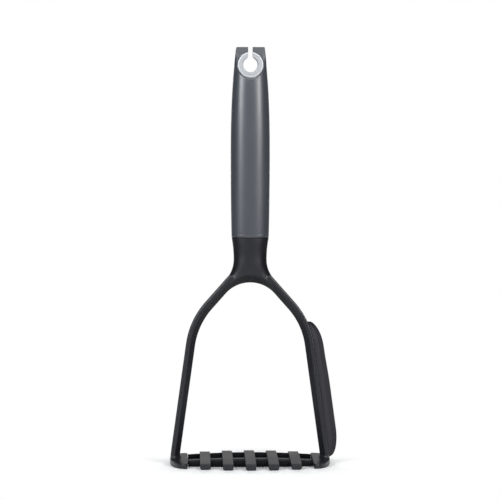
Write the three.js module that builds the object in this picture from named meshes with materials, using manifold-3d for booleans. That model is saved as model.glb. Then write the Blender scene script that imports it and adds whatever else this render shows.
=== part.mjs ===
// A hand-held potato masher: soft-grip handle, wishbone yoke, slatted mashing plate and a scraper blade
// along one arm. Millimetres, +Z up, front towards -Y. The origin is under the middle of the plate, on the
// surface that the masher stands on.
import * as THREE from 'three';
import { mergeVertices } from 'three/addons/utils/BufferGeometryUtils.js';
import Module from 'manifold-3d';

const wasm = await Module();
wasm.setup();

// ---- Driving dimensions -------------------------------------------------------------------------------

const fitGap = 0.3; // clearance round every piece that slots into another
const overcut = 1; // how far a cut runs past the faces that it opens

// Mashing plate
const slatCount = 5; // full slats between the two foot bars
const slatPitch = 15.6;
const slatWidth = 6.8;
const slatLength = 73.4; // the middle slat, front to back
const plateBulgeRadius = 125; // how the slats' ends curve, seen from above
const slatEndHeight = 4; // the middle slat's
const slatCrownHeight = 5.4; // the middle of the plate
const plateDome = 1.2; // how much lower the foot bars' tops are than the middle slat's
const slatEdgeRadius = 1.8; // along the two lower edges of a slat
const footReach = 5.3; // how far a foot stands out beyond its bar
const footShoulder = 1.5; // straight stretch of a foot bar's ends, before its outside curves
const footEdgeRadius = 1.1;

// Cross ribs, half-lapped under the slats: a broad one between the arms' feet and two thin bowed ones that
// are flush with the slats' tops
const tieRibWidth = 6.4;
const tieRibBottom = 0; // flush with the slats' undersides, so the masher stands on it too
const tieRibDrop = 1.6; // from the slats' tops down to the rib's
const edgeRibOffset = 20; // from the middle of the plate to a thin rib
const edgeRibWidth = 1.8;
const edgeRibBottom = 1;
const edgeRibBow = 345; // radius of a thin rib, seen from above
const lapHeight = 2.3; // top of what is left of a rib under a slat
const ribTenonLength = 3;
const ribTenonBottom = 1.2;
const ribTenonTop = 2.9;

// Yoke: two arms of one constant width that meet in a round crotch under the neck
const armWidth = 6.4;
const armLean = THREE.MathUtils.degToRad(7.9); // from the vertical, above the feet
const armSpread = THREE.MathUtils.degToRad(41.5); // from the vertical, above the shoulders
const shoulderRadius = 52; // on the arm's centreline
const crotchRadius = 22.6;
const crotchHeight = 126.2; // highest point of the opening
const armHalfDepth = 6.1;
const innerEdgeHalfDepth = 2.5; // at the inner edge, from which the bevel rises
const bevelSlope = 1; // rise of the bevel for each millimetre across the arm
const armFlatHalfDepth = 3; // half of the flat on the arm's outer side
const armRoundPower = 5; // squareness of the arm's outer corners

// Neck
const neckWaistHalfWidth = 11.4;
const neckFilletRadius = 20;
const neckFlareRadius = 80;
const neckHalfDepth = 9.3;
const neckSideHalfDepth = 1.5;
const seamHeight = 157.2; // top of the neck
const gripPower = 2.4; // superellipse power of the neck's and the grip's section

// Tenons that stand in the feet, and the tang that stands in the handle
const tenonWidth = 3.4;
const tenonDepth = 7;
const tenonLength = 3;
const tangWidth = 11;
const tangDepth = 7;
const tangLength = 48;
const tangTipChamfer = 1.5;
const barbReach = 1.4;
const barbHeight = 5;
const barbBelowTip = 6;

// Scraper blade and the rail that carries it
const railHalfThickness = 1.1;
const railReach = 2.6;
const railRoot = 1; // how deep the rail starts inside the arm
const railStart = 12; // along the arm, from its foot
const railEnd = 78;
const bladeStart = 0.6; // along the arm, from its foot
const bladeEnd = 93.4;
const bladeTopWidth = 6.5; // beyond the arm, under the blade's round top
const bladeWidth = 7.5; // beyond the arm, further down
const bladeGrowth = 25; // length over which the blade widens, below its round top
const bladeTopRound = 18;
const bladeBottomRound = 23;
const bladeRootHalfThickness = 3.3;
const bladeMiddleHalfThickness = 2.5;
const bladeEdgeHalfThickness = 0.7;
const bladeTipWidth = 0.7;

// Handle
const gripLength = 131.5;
const gripEndHalfWidth = 12.9;
const gripHalfWidth = 13.5;
const gripTopHalfWidth = 9.6;
const gripEndHalfDepth = 10.3;
const gripHalfDepth = 11.6;
const gripTopHalfDepth = 8;
const gripBellyHeight = 56; // widest place, above the seam
const gripTopPower = 2.5; // how late the grip narrows towards its top
const coreHalfWidth = 8.6;
const coreHalfDepth = 6.6;
const coreTipHalfWidth = 5.4;
const coreTipHalfDepth = 4;
const coreTipBelowEye = 5.9; // from the core's tip to the underside of the eye
const coreTaper = 26; // length of the core's narrowing tip

// Hanging eye and the flattened pad round it
const eyeDrop = 12.5; // from the top of the grip to the eye's centre
const eyeRadius = 9.1;
const eyeHoleRadius = 5.05;
const eyeSlotWidth = 3.8;
const eyeRecess = 0.2; // how far the eye's faces lie below the pad's
const eyeChamfer = 0.5;
const padHalfDepth = 6;
const scoopLedge = 1.1; // flat ledge between the eye and the foot of the scooped wall under it
const scoopSlope = 0.45; // outward run of that wall for each millimetre of its height

// ---- Materials ----------------------------------------------------------------------------------------

function plastic(red, green, blue, roughness) {
  const color = new THREE.Color().setRGB(red, green, blue, THREE.SRGBColorSpace);
  return new THREE.MeshStandardMaterial({ color, roughness, metalness: 0 });
}

const nylon = () => plastic(0.17, 0.17, 0.18, 0.5);
const silicone = () => plastic(0.21, 0.21, 0.23, 0.6);
const softGrip = () => plastic(0.34, 0.36, 0.39, 0.55);
const paleInsert = () => plastic(0.79, 0.8, 0.82, 0.45);
const stiffCore = () => plastic(0.25, 0.26, 0.28, 0.6);

// ---- Solid helpers ------------------------------------------------------------------------------------

function solid(geometry) {
  const bare = geometry.clone();
  bare.deleteAttribute('normal');
  bare.deleteAttribute('uv');
  const merged = mergeVertices(bare, 1e-4);
  const vertProperties = new Float32Array(merged.attributes.position.array);
  const triVerts = new Uint32Array(merged.index.array);
  return new wasm.Manifold(new wasm.Mesh({ numProp: 3, vertProperties, triVerts }));
}

function geometryOf(manifold) {
  const mesh = manifold.getMesh();
  const geometry = new THREE.BufferGeometry();
  geometry.setAttribute('position', new THREE.BufferAttribute(new Float32Array(mesh.vertProperties), 3));
  geometry.setIndex(new THREE.BufferAttribute(new Uint32Array(mesh.triVerts), 1));
  geometry.computeVertexNormals();
  return geometry;
}

function named(name, material, shape) {
  const mesh = new THREE.Mesh(shape.isBufferGeometry ? shape : geometryOf(shape), material);
  mesh.name = name;
  return mesh;
}

function block(low, high) {
  const size = high.map((value, axis) => value - low[axis]);
  const geometry = new THREE.BoxGeometry(...size);
  geometry.translate(...low.map((value, axis) => value + size[axis] / 2));
  return solid(geometry);
}

// An outline in Y and Z, run along X, centred on X = 0.
function extrudeAlongX(shape, width, options = {}) {
  const geometry = new THREE.ExtrudeGeometry(shape, { depth: width, bevelEnabled: false, ...options });
  geometry.translate(0, 0, -width / 2);
  const basis = new THREE.Matrix4().makeBasis(
    new THREE.Vector3(0, 1, 0), new THREE.Vector3(0, 0, 1), new THREE.Vector3(1, 0, 0));
  return geometry.applyMatrix4(basis);
}

// An outline in X and Z, run along Y, centred on Y = 0.
function extrudeAlongY(shape, depth, options = {}) {
  const geometry = new THREE.ExtrudeGeometry(shape, { depth, bevelEnabled: false, ...options });
  geometry.translate(0, 0, -depth / 2);
  return geometry.rotateX(Math.PI / 2);
}

function outline(points) {
  return new THREE.Shape(points.map(([u, v]) => new THREE.Vector2(u, v)));
}

// Skins a row of closed sections that all have the same number of points, and closes both ends.
function loft(sections) {
  const around = sections[0].length;
  const positions = sections.flat().flatMap((point) => [point.x, point.y, point.z]);
  const index = [];
  for (let row = 0; row + 1 < sections.length; row += 1) {
    for (let k = 0; k < around; k += 1) {
      const a = row * around + k;
      const b = row * around + (k + 1) % around;
      index.push(a, b, b + around, a, b + around, a + around);
    }
  }
  const last = (sections.length - 1) * around;
  for (let k = 1; k + 1 < around; k += 1) {
    index.push(0, k + 1, k);
    index.push(last, last + k, last + k + 1);
  }
  const geometry = new THREE.BufferGeometry();
  geometry.setAttribute('position', new THREE.Float32BufferAttribute(positions, 3));
  geometry.setIndex(index);
  geometry.computeVertexNormals();
  return geometry;
}

function ovalSection(halfWidth, halfDepth, height, around) {
  return Array.from({ length: around }, (_, k) => {
    const angle = (2 * Math.PI * k) / around;
    const cos = Math.cos(angle);
    const sin = Math.sin(angle);
    const x = halfWidth * Math.sign(cos) * Math.abs(cos) ** (2 / gripPower);
    const y = halfDepth * Math.sign(sin) * Math.abs(sin) ** (2 / gripPower);
    return new THREE.Vector3(x, y, height);
  });
}

// ---- Mashing plate ------------------------------------------------------------------------------------

const footBarX = slatPitch * (slatCount + 1) / 2;
const barInnerX = footBarX - slatWidth / 2;
const footOuterX = footBarX + slatWidth / 2 + footReach;
const slatPlaces = Array.from({ length: slatCount }, (_, k) => (k - (slatCount - 1) / 2) * slatPitch);

function slatHalfLength(x) {
  return slatLength / 2 - x * x / (2 * plateBulgeRadius);
}

// Height of the plate's domed top over a point.
function crownAt(x, y) {
  return slatCrownHeight - plateDome * (x / footBarX) ** 2
    - (slatCrownHeight - slatEndHeight) * (2 * y / slatLength) ** 2;
}

function crownOutline(x, halfLength) {
  const steps = 12;
  const top = Array.from({ length: steps + 1 }, (_, k) => {
    const y = halfLength * (1 - 2 * k / steps);
    return [y, crownAt(x, y)];
  });
  return outline([[-halfLength, 0], [halfLength, 0], ...top]);
}

const ribs = {
  tie: { offset: 0, width: tieRibWidth, bottom: tieRibBottom, drop: tieRibDrop, bow: Infinity },
  edge: { offset: edgeRibOffset, width: edgeRibWidth, bottom: edgeRibBottom, drop: 0, bow: edgeRibBow },
};

// How far a rib's middle line lies from the plate's middle, and the room it needs to pass a bar at x.
function ribLineAt(rib, x) {
  return rib.offset - x * x / (2 * rib.bow);
}

function ribRoom(rib, x) {
  return rib.width / 2 + fitGap + Math.abs(x) * slatWidth / 2 / rib.bow;
}

function slatSection() {
  const half = slatWidth / 2;
  const tall = slatCrownHeight + overcut;
  const shape = new THREE.Shape();
  shape.moveTo(-half, tall);
  shape.lineTo(-half, slatEdgeRadius);
  shape.absarc(-half + slatEdgeRadius, slatEdgeRadius, slatEdgeRadius, Math.PI, 1.5 * Math.PI, false);
  shape.absarc(half - slatEdgeRadius, slatEdgeRadius, slatEdgeRadius, 1.5 * Math.PI, 2 * Math.PI, false);
  shape.lineTo(half, tall);
  return shape;
}

function slat(x) {
  const halfLength = slatHalfLength(x);
  let body = solid(extrudeAlongX(crownOutline(x, halfLength), slatWidth + 2 * overcut))
    .intersect(solid(extrudeAlongY(slatSection(), 2 * (halfLength + overcut), { curveSegments: 4 })));
  for (const [rib, side] of [[ribs.tie, 1], [ribs.edge, -1], [ribs.edge, 1]]) {
    const y = side * ribLineAt(rib, x);
    const room = ribRoom(rib, x);
    body = body.subtract(block([-slatWidth, y - room, -overcut], [slatWidth, y + room, lapHeight + fitGap]));
  }
  return body;
}

// A comb-like rib: full height between the slats, lapped under each slat, with a tenon at each end.
function crossRib(rib, side) {
  const top = (x) => crownAt(x, rib.offset) - rib.drop;
  const shoulder = barInnerX - fitGap;
  const tenonTip = barInnerX + ribTenonLength;
  const rightHalf = [];
  for (const x of slatPlaces) {
    const reach = slatWidth / 2 + fitGap;
    if (x - reach > 0) rightHalf.push([x - reach, top(x - reach)], [x - reach, lapHeight]);
    if (x + reach > 0) rightHalf.push([x + reach, lapHeight], [x + reach, top(x + reach)]);
  }
  rightHalf.push([shoulder, top(shoulder)], [shoulder, ribTenonTop], [tenonTip, ribTenonTop]);
  rightHalf.push([tenonTip, ribTenonBottom], [shoulder, ribTenonBottom], [shoulder, rib.bottom]);
  const leftHalf = rightHalf.map(([x, z]) => [-x, z]).reverse();
  const comb = solid(extrudeAlongY(outline([...leftHalf, ...rightHalf]), 4 * edgeRibOffset));
  return comb.intersect(bowedStrip(rib, side, tenonTip + overcut));
}

function bowedStrip(rib, side, reach) {
  const steps = 24;
  const line = (offset) => Array.from({ length: steps + 1 }, (_, k) => {
    const x = reach * (2 * k / steps - 1);
    return [x, side * ribLineAt(rib, x) + offset];
  });
  const plan = outline([...line(-rib.width / 2), ...line(rib.width / 2).reverse()]);
  const depth = slatCrownHeight + 2 * overcut;
  const strip = new THREE.ExtrudeGeometry(plan, { depth, bevelEnabled: false });
  strip.translate(0, 0, -overcut);
  return solid(strip);
}

// The bar under an arm, seen from above: straight on the inside, with a round-cornered foot outside.
// It is modelled for the right side, with X measured from the bar's own middle.
function footBar() {
  const inner = -slatWidth / 2;
  const outer = slatWidth / 2 + footReach;
  const halfLength = slatHalfLength(footBarX);
  const ovalMiddle = inner + footShoulder;
  const plan = new THREE.Shape();
  plan.moveTo(inner, halfLength);
  plan.lineTo(inner, -halfLength);
  plan.lineTo(ovalMiddle, -halfLength);
  plan.absellipse(ovalMiddle, 0, outer - ovalMiddle, halfLength, -Math.PI / 2, Math.PI / 2, false, 0);
  const rim = {
    bevelEnabled: true,
    bevelSize: footEdgeRadius,
    bevelOffset: -footEdgeRadius,
    bevelThickness: footEdgeRadius,
    bevelSegments: 2,
    curveSegments: 24,
  };
  const depth = slatCrownHeight + 2 * overcut;
  const bar = new THREE.ExtrudeGeometry(plan, { depth, ...rim });
  bar.translate(0, 0, footEdgeRadius);
  const crown = extrudeAlongX(crownOutline(footBarX, slatLength / 2), 6 * slatWidth);
  let body = solid(bar).intersect(solid(crown));
  for (const [rib, side] of [[ribs.tie, 1], [ribs.edge, -1], [ribs.edge, 1]]) {
    const y = side * ribLineAt(rib, footBarX);
    const room = ribRoom(rib, footBarX);
    const low = [inner - overcut, y - room, ribTenonBottom - fitGap];
    body = body.subtract(block(low, [inner + ribTenonLength + fitGap, y + room, ribTenonTop + fitGap]));
  }
  const socketX = armSeat.x - footBarX;
  const halfX = tenonWidth / 2 + fitGap;
  const halfY = tenonDepth / 2 + fitGap;
  const socketFloor = armSeat.z - tenonLength - fitGap;
  const open = slatCrownHeight + overcut;
  return body
    .subtract(block([socketX - halfX, -halfY, socketFloor], [socketX + halfX, halfY, open]))
    .subtract(block([armSeat.inner - footBarX - fitGap, -armHalfDepth - fitGap, armSeat.z - fitGap],
      [outer + overcut, armHalfDepth + fitGap, open]));
}

// ---- Arms: one path from a foot to the crotch's middle, in the X-Z plane -------------------------------

// The arm stands on its foot a little below the plate's crown, with its outer side flush with the foot.
const armSeat = { z: crownAt(footBarX, armHalfDepth) - fitGap };
const armHalfX = armWidth / 2 / Math.cos(armLean);
armSeat.outer = footOuterX;
armSeat.x = armSeat.outer - armHalfX;
armSeat.inner = armSeat.x - armHalfX;

const crotchCentreZ = crotchHeight - crotchRadius;
const crotchMiddleRadius = crotchRadius + armWidth / 2;
const crotchTurn = Math.PI / 2 - armSpread; // from the top of the crotch to where the arm leaves it straight
const crotchEnd = new THREE.Vector2(
  crotchMiddleRadius * Math.sin(crotchTurn),
  crotchCentreZ + crotchMiddleRadius * Math.cos(crotchTurn));

// Where the two straight stretches of the centreline would cross, and the tangent length of the shoulder.
const cornerZ = (crotchEnd.x + Math.tan(armSpread) * crotchEnd.y - armSeat.x - Math.tan(armLean) * armSeat.z)
  / (Math.tan(armSpread) - Math.tan(armLean));
const corner = new THREE.Vector2(armSeat.x - Math.tan(armLean) * (cornerZ - armSeat.z), cornerZ);
const shoulderTurn = armSpread - armLean;
const shoulderTangent = shoulderRadius * Math.tan(shoulderTurn / 2);
const lowerLength = (corner.y - armSeat.z) / Math.cos(armLean) - shoulderTangent;
const shoulderLength = shoulderRadius * shoulderTurn;
const upperLength = corner.distanceTo(crotchEnd) - shoulderTangent;
const armLength = lowerLength + shoulderLength + upperLength;

// A point of the right arm's centreline and the unit direction towards the arm's outer side.
function armAt(length) {
  const lean = armLean + THREE.MathUtils.clamp((length - lowerLength) / shoulderRadius, 0, shoulderTurn);
  const outward = new THREE.Vector2(Math.cos(lean), Math.sin(lean));
  const upward = new THREE.Vector2(-Math.sin(lean), Math.cos(lean));
  const point = new THREE.Vector2(armSeat.x, armSeat.z);
  const straight = new THREE.Vector2(-Math.sin(armLean), Math.cos(armLean));
  point.addScaledVector(straight, Math.min(length, lowerLength));
  if (length > lowerLength) {
    const first = new THREE.Vector2(Math.cos(armLean), Math.sin(armLean));
    point.addScaledVector(first, -shoulderRadius).addScaledVector(outward, shoulderRadius);
    point.addScaledVector(upward, Math.max(0, length - lowerLength - shoulderLength));
  }
  return { point, outward };
}

function across(length, offset) {
  const { point, outward } = armAt(length);
  return point.clone().addScaledVector(outward, offset);
}

// ---- Neck outline and depth ----------------------------------------------------------------------------

// The neck's fillet is tangent to the outer side of the straight upper arm and upright at the waist.
const upperOuter = across(armLength, armWidth / 2);
const filletRunX = neckFilletRadius * (1 - Math.cos(armSpread));
const filletRunZ = neckFilletRadius * Math.sin(armSpread);
const waistHeight = upperOuter.y + filletRunZ
  - (neckWaistHalfWidth + filletRunX - upperOuter.x) / Math.tan(armSpread);

function neckHalfWidthAt(z) {
  if (z > waistHeight) {
    const rise = z - waistHeight;
    return neckWaistHalfWidth + neckFlareRadius - Math.sqrt(neckFlareRadius ** 2 - rise ** 2);
  }
  const drop = waistHeight - z;
  if (drop < filletRunZ) {
    return neckWaistHalfWidth + neckFilletRadius - Math.sqrt(neckFilletRadius ** 2 - drop ** 2);
  }
  return neckWaistHalfWidth + filletRunX + (drop - filletRunZ) * Math.tan(armSpread);
}

function armDepthAt(fromOuterEdge) {
  const inside = 1 - Math.min(1, fromOuterEdge / armWidth);
  return armHalfDepth * (1 - inside ** armRoundPower) ** (1 / armRoundPower);
}

function neckDepthAt(x, z) {
  const ratio = Math.min(1, Math.abs(x) / neckHalfWidthAt(z));
  const towardsSeam = THREE.MathUtils.smoothstep(z, waistHeight, seamHeight);
  const depth = THREE.MathUtils.lerp(neckHalfDepth, gripEndHalfDepth, towardsSeam);
  return depth * (1 - ratio ** gripPower) ** (1 / gripPower);
}

// Half the yoke's depth at a point, without the bevel: arms low down, turning into the neck above.
function bodyDepth(point, fromOuterEdge) {
  const neckShare = THREE.MathUtils.smoothstep(point.y, crotchEnd.y, waistHeight);
  const least = THREE.MathUtils.lerp(armFlatHalfDepth, neckSideHalfDepth, neckShare);
  const depth = THREE.MathUtils.lerp(armDepthAt(fromOuterEdge), neckDepthAt(point.x, point.y), neckShare);
  return Math.max(least, depth);
}

// ---- Yoke ----------------------------------------------------------------------------------------------

const outerSteps = [0.55, 0.3, 0.15, 0.06, 0.02, 0]; // shares of the stretch outside the bevel

// One section of the yoke, from its inner edge to its outer edge: bevel, then face, then outer corner.
function yokeSection(inner, outer, mirror) {
  const span = inner.distanceTo(outer);
  const at = (distance) => inner.clone().lerp(outer, distance / span);
  let low = 0;
  let high = span;
  for (let k = 0; k < 40; k += 1) {
    const middle = (low + high) / 2;
    const risen = innerEdgeHalfDepth + bevelSlope * middle;
    if (risen < bodyDepth(at(middle), span - middle)) low = middle;
    else high = middle;
  }
  const front = [[inner, innerEdgeHalfDepth], [at(low), bodyDepth(at(low), span - low)]];
  for (const share of outerSteps) {
    const distance = span - share * (span - low);
    front.push([at(distance), bodyDepth(at(distance), span - distance)]);
  }
  const corner3 = ([point, depth], side) => new THREE.Vector3(mirror * point.x, side * depth, point.y);
  return [...front.map((pair) => corner3(pair, -1)), ...front.reverse().map((pair) => corner3(pair, 1))];
}

// Pairs of inner and outer points from the right foot up to the middle of the neck.
function yokeStations() {
  const stations = [[new THREE.Vector2(armSeat.inner, armSeat.z), new THREE.Vector2(armSeat.outer, armSeat.z)]];
  const lowerSteps = 4;
  const shoulderSteps = 8;
  for (let k = 1; k <= lowerSteps; k += 1) {
    const length = lowerLength * k / lowerSteps;
    stations.push([across(length, -armWidth / 2), across(length, armWidth / 2)]);
  }
  for (let k = 1; k <= shoulderSteps; k += 1) {
    const length = lowerLength + shoulderLength * k / shoulderSteps;
    stations.push([across(length, -armWidth / 2), across(length, armWidth / 2)]);
  }
  stations.push([across(armLength, -armWidth / 2), upperOuter]);
  const neckSide = neckOutline();
  neckSide.forEach((outer, k) => {
    const turn = crotchTurn * (1 - (k + 1) / neckSide.length);
    const inner = new THREE.Vector2(
      crotchRadius * Math.sin(turn), crotchCentreZ + crotchRadius * Math.cos(turn));
    stations.push([inner, outer]);
  });
  return stations;
}

// The neck's outline after the arm: up the fillet and the flare, then along the seam to the middle.
function neckOutline() {
  const points = [];
  const filletSteps = 6;
  const flareSteps = 4;
  const seamSteps = 6;
  for (let k = 0; k <= filletSteps; k += 1) {
    const turn = armSpread * (1 - k / filletSteps);
    const z = waistHeight - neckFilletRadius * Math.sin(turn);
    points.push(new THREE.Vector2(neckHalfWidthAt(z), z));
  }
  for (let k = 1; k <= flareSteps; k += 1) {
    const z = THREE.MathUtils.lerp(waistHeight, seamHeight, k / flareSteps);
    points.push(new THREE.Vector2(neckHalfWidthAt(z), z));
  }
  for (let k = 1; k <= seamSteps; k += 1) {
    const x = neckHalfWidthAt(seamHeight) * Math.cos((Math.PI / 2) * (k / seamSteps)) ** (2 / gripPower);
    points.push(new THREE.Vector2(k < seamSteps ? x : 0, seamHeight));
  }
  return points;
}

function tang() {
  const tip = seamHeight + tangLength;
  const half = tangDepth / 2;
  const barbTop = tip - barbBelowTip;
  const right = [
    [half, seamHeight - overcut],
    [half, barbTop - barbHeight],
    [half + barbReach, barbTop - barbHeight],
    [half, barbTop],
    [half, tip - tangTipChamfer],
    [half - tangTipChamfer, tip],
  ];
  const left = right.map(([y, z]) => [-y, z]).reverse();
  return solid(extrudeAlongX(outline([...right, ...left]), tangWidth));
}

function footTenon(side) {
  const x = side * armSeat.x;
  const half = tenonWidth / 2;
  const root = armSeat.z + overcut;
  return block([x - half, -tenonDepth / 2, armSeat.z - tenonLength], [x + half, tenonDepth / 2, root]);
}

// A fin along the outside of the right arm. The same shape, grown by a clearance, is the blade's groove.
function rail(clearance) {
  const steps = 12;
  const half = railHalfThickness + clearance;
  const from = railStart - clearance;
  const to = railEnd + clearance;
  const sections = Array.from({ length: steps + 1 }, (_, k) => {
    const length = from + (to - from) * k / steps;
    const inner = across(length, armWidth / 2 - railRoot);
    const outer = across(length, armWidth / 2 + railReach + clearance);
    return [[inner, -half], [outer, -half], [outer, half], [inner, half]]
      .map(([point, y]) => new THREE.Vector3(point.x, y, point.y));
  });
  return solid(loft(sections));
}

function yoke() {
  const right = yokeStations();
  const sections = right.map(([inner, outer]) => yokeSection(inner, outer, 1));
  const left = right.slice(0, -1).map(([inner, outer]) => yokeSection(inner, outer, -1)).reverse();
  return solid(loft([...sections, ...left]))
    .add(tang())
    .add(footTenon(-1))
    .add(footTenon(1))
    .add(rail(0));
}

// ---- Scraper blade ---------------------------------------------------------------------------------------

function bladeWidthAt(length) {
  const fromTop = Math.min(1, (bladeEnd - length) / bladeTopRound);
  const fromBottom = Math.min(1, (length - bladeStart) / bladeBottomRound);
  const growth = THREE.MathUtils.smoothstep(bladeEnd - length, bladeTopRound, bladeTopRound + bladeGrowth);
  const full = THREE.MathUtils.lerp(bladeTopWidth, bladeWidth, growth);
  const rounded = Math.sqrt(1 - (1 - fromTop) ** 2) * Math.sqrt(1 - (1 - fromBottom) ** 2);
  return bladeTipWidth + (full - bladeTipWidth) * rounded;
}

function scraperBlade() {
  const steps = 40;
  const sections = Array.from({ length: steps + 1 }, (_, k) => {
    const share = (1 - Math.cos(Math.PI * k / steps)) / 2;
    const length = THREE.MathUtils.lerp(bladeStart, bladeEnd, share);
    const width = bladeWidthAt(length);
    const root = across(length, armWidth / 2 + fitGap);
    const middle = across(length, armWidth / 2 + fitGap + (width - fitGap) / 2);
    const edge = across(length, armWidth / 2 + width);
    const front = [
      [root, bladeRootHalfThickness],
      [middle, bladeMiddleHalfThickness],
      [edge, bladeEdgeHalfThickness],
    ];
    return [...front.map(([point, y]) => new THREE.Vector3(point.x, -y, point.y)),
      ...front.reverse().map(([point, y]) => new THREE.Vector3(point.x, y, point.y))];
  });
  return solid(loft(sections)).subtract(rail(fitGap));
}

// ---- Handle, modelled upwards from the seam at Z = 0 -----------------------------------------------------

function gripSizeAt(z, end, belly, top) {
  if (z < gripBellyHeight) return belly - (belly - end) * (1 - z / gripBellyHeight) ** 2;
  const share = (z - gripBellyHeight) / (gripLength - gripBellyHeight);
  return belly - (belly - top) * share ** gripTopPower;
}

const eyeHeight = gripLength - eyeDrop;
const coreLength = eyeHeight - eyeRadius - coreTipBelowEye;

const coreFacets = 28;
const gripFacets = 44;
const roundFacets = 40;

function coreBody(base, clearance) {
  const straight = coreLength - coreTaper;
  const taperSteps = 4;
  const wide = coreHalfWidth + clearance;
  const deep = coreHalfDepth + clearance;
  const sections = [ovalSection(wide, deep, base, coreFacets)];
  for (let k = 0; k <= taperSteps; k += 1) {
    const share = k / taperSteps;
    const halfWidth = THREE.MathUtils.lerp(wide, coreTipHalfWidth + clearance, share * share);
    const halfDepth = THREE.MathUtils.lerp(deep, coreTipHalfDepth + clearance, share * share);
    const height = straight + coreTaper * share + clearance * share;
    sections.push(ovalSection(halfWidth, halfDepth, height, coreFacets));
  }
  return solid(loft(sections));
}

function handleCore() {
  const halfX = tangWidth / 2 + fitGap;
  const halfY = tangDepth / 2 + fitGap;
  const tip = tangLength + fitGap;
  const barbTop = tangLength - barbBelowTip;
  const pocket = block([-halfX, -halfY, -overcut], [halfX, halfY, tip]);
  const windowLow = [-halfX, -coreHalfDepth - overcut, barbTop - barbHeight - fitGap];
  const windowHigh = [halfX, coreHalfDepth + overcut, barbTop + fitGap];
  return coreBody(fitGap, 0).subtract(pocket).subtract(block(windowLow, windowHigh));
}

// What the flattened pad and its scooped lower wall take off one face of the grip.
function padCut() {
  const deep = gripHalfDepth + overcut;
  const rise = deep - padHalfDepth;
  const foot = eyeRadius + scoopLedge;
  const profile = [[0, 0], [foot, 0], [foot + scoopSlope * rise, rise], [0, rise]];
  const scoop = new THREE.LatheGeometry(profile.map(([r, h]) => new THREE.Vector2(r, h)), roundFacets);
  scoop.translate(0, padHalfDepth, 0);
  scoop.translate(0, 0, eyeHeight);
  const low = [-gripHalfWidth - overcut, padHalfDepth, eyeHeight];
  const upper = block(low, [gripHalfWidth + overcut, deep, gripLength + overcut]);
  return solid(scoop).add(upper);
}

function gripSleeve() {
  const levels = 22;
  const sections = Array.from({ length: levels + 1 }, (_, k) => {
    const z = fitGap + (gripLength - fitGap) * k / levels;
    const halfWidth = gripSizeAt(z, gripEndHalfWidth, gripHalfWidth, gripTopHalfWidth);
    const halfDepth = gripSizeAt(z, gripEndHalfDepth, gripHalfDepth, gripTopHalfDepth);
    return ovalSection(halfWidth, halfDepth, z, gripFacets);
  });
  const backCut = padCut();
  const frontCut = backCut.rotate([0, 0, 180]);
  const through = gripHalfDepth + overcut;
  const bore = new THREE.CylinderGeometry(eyeRadius + fitGap, eyeRadius + fitGap, 2 * through, roundFacets);
  bore.translate(0, 0, eyeHeight);
  const slotLow = [-eyeSlotWidth / 2, -through, eyeHeight];
  const slot = block(slotLow, [eyeSlotWidth / 2, through, gripLength + overcut]);
  return solid(loft(sections))
    .subtract(coreBody(-overcut, fitGap))
    .subtract(backCut)
    .subtract(frontCut)
    .subtract(solid(bore))
    .subtract(slot);
}

// A ring with a slot open to the top, chamfered on both faces.
function hangingEye() {
  const outerGap = Math.asin(eyeSlotWidth / 2 / eyeRadius);
  const innerGap = Math.asin(eyeSlotWidth / 2 / eyeHoleRadius);
  const shape = new THREE.Shape();
  shape.absarc(0, 0, eyeRadius, Math.PI / 2 + outerGap, 2.5 * Math.PI - outerGap, false);
  shape.absarc(0, 0, eyeHoleRadius, 2.5 * Math.PI - innerGap, Math.PI / 2 + innerGap, true);
  const rim = {
    bevelEnabled: true,
    bevelSize: eyeChamfer,
    bevelOffset: -eyeChamfer,
    bevelThickness: eyeChamfer,
    bevelSegments: 1,
    curveSegments: 36,
  };
  return extrudeAlongY(shape, 2 * (padHalfDepth - eyeRecess - eyeChamfer), rim);
}

// ---- Assembly ----------------------------------------------------------------------------------------------

const plate = new THREE.Group();
slatPlaces.forEach((x, k) => {
  const mesh = named(`slat_${k + 1}`, nylon(), slat(x));
  mesh.position.x = x;
  plate.add(mesh);
});
plate.add(named('cross_rib_middle', nylon(), crossRib(ribs.tie, 1)));
plate.add(named('cross_rib_front', nylon(), crossRib(ribs.edge, -1)));
plate.add(named('cross_rib_back', nylon(), crossRib(ribs.edge, 1)));
const rightFoot = named('foot_bar_right', nylon(), footBar());
rightFoot.position.x = footBarX;
const leftFoot = named('foot_bar_left', nylon(), footBar());
leftFoot.position.x = -footBarX;
leftFoot.rotation.z = Math.PI;
plate.add(rightFoot, leftFoot);

const handle = new THREE.Group();
handle.position.z = seamHeight;
handle.add(named('handle_core', stiffCore(), handleCore()));
handle.add(named('grip_sleeve', softGrip(), gripSleeve()));
const eye = named('hanging_eye', paleInsert(), hangingEye());
eye.position.z = eyeHeight;
handle.add(eye);

const masher = new THREE.Group();
masher.add(plate, named('yoke', nylon(), yoke()), named('scraper_blade', silicone(), scraperBlade()), handle);

export default masher;
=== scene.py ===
# %% [markdown]
# # A potato masher with a scraper edge
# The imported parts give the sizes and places. This lesson dresses them: smooth mouldings stand for the
# faceted solids, each finish is built from nodes, and a small studio lights the result.
# Everything is in metres, +Z up, with the front towards -Y.

# %% Load the frame
import math

import bmesh
import bpy
from mathutils import Matrix, Vector


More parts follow.
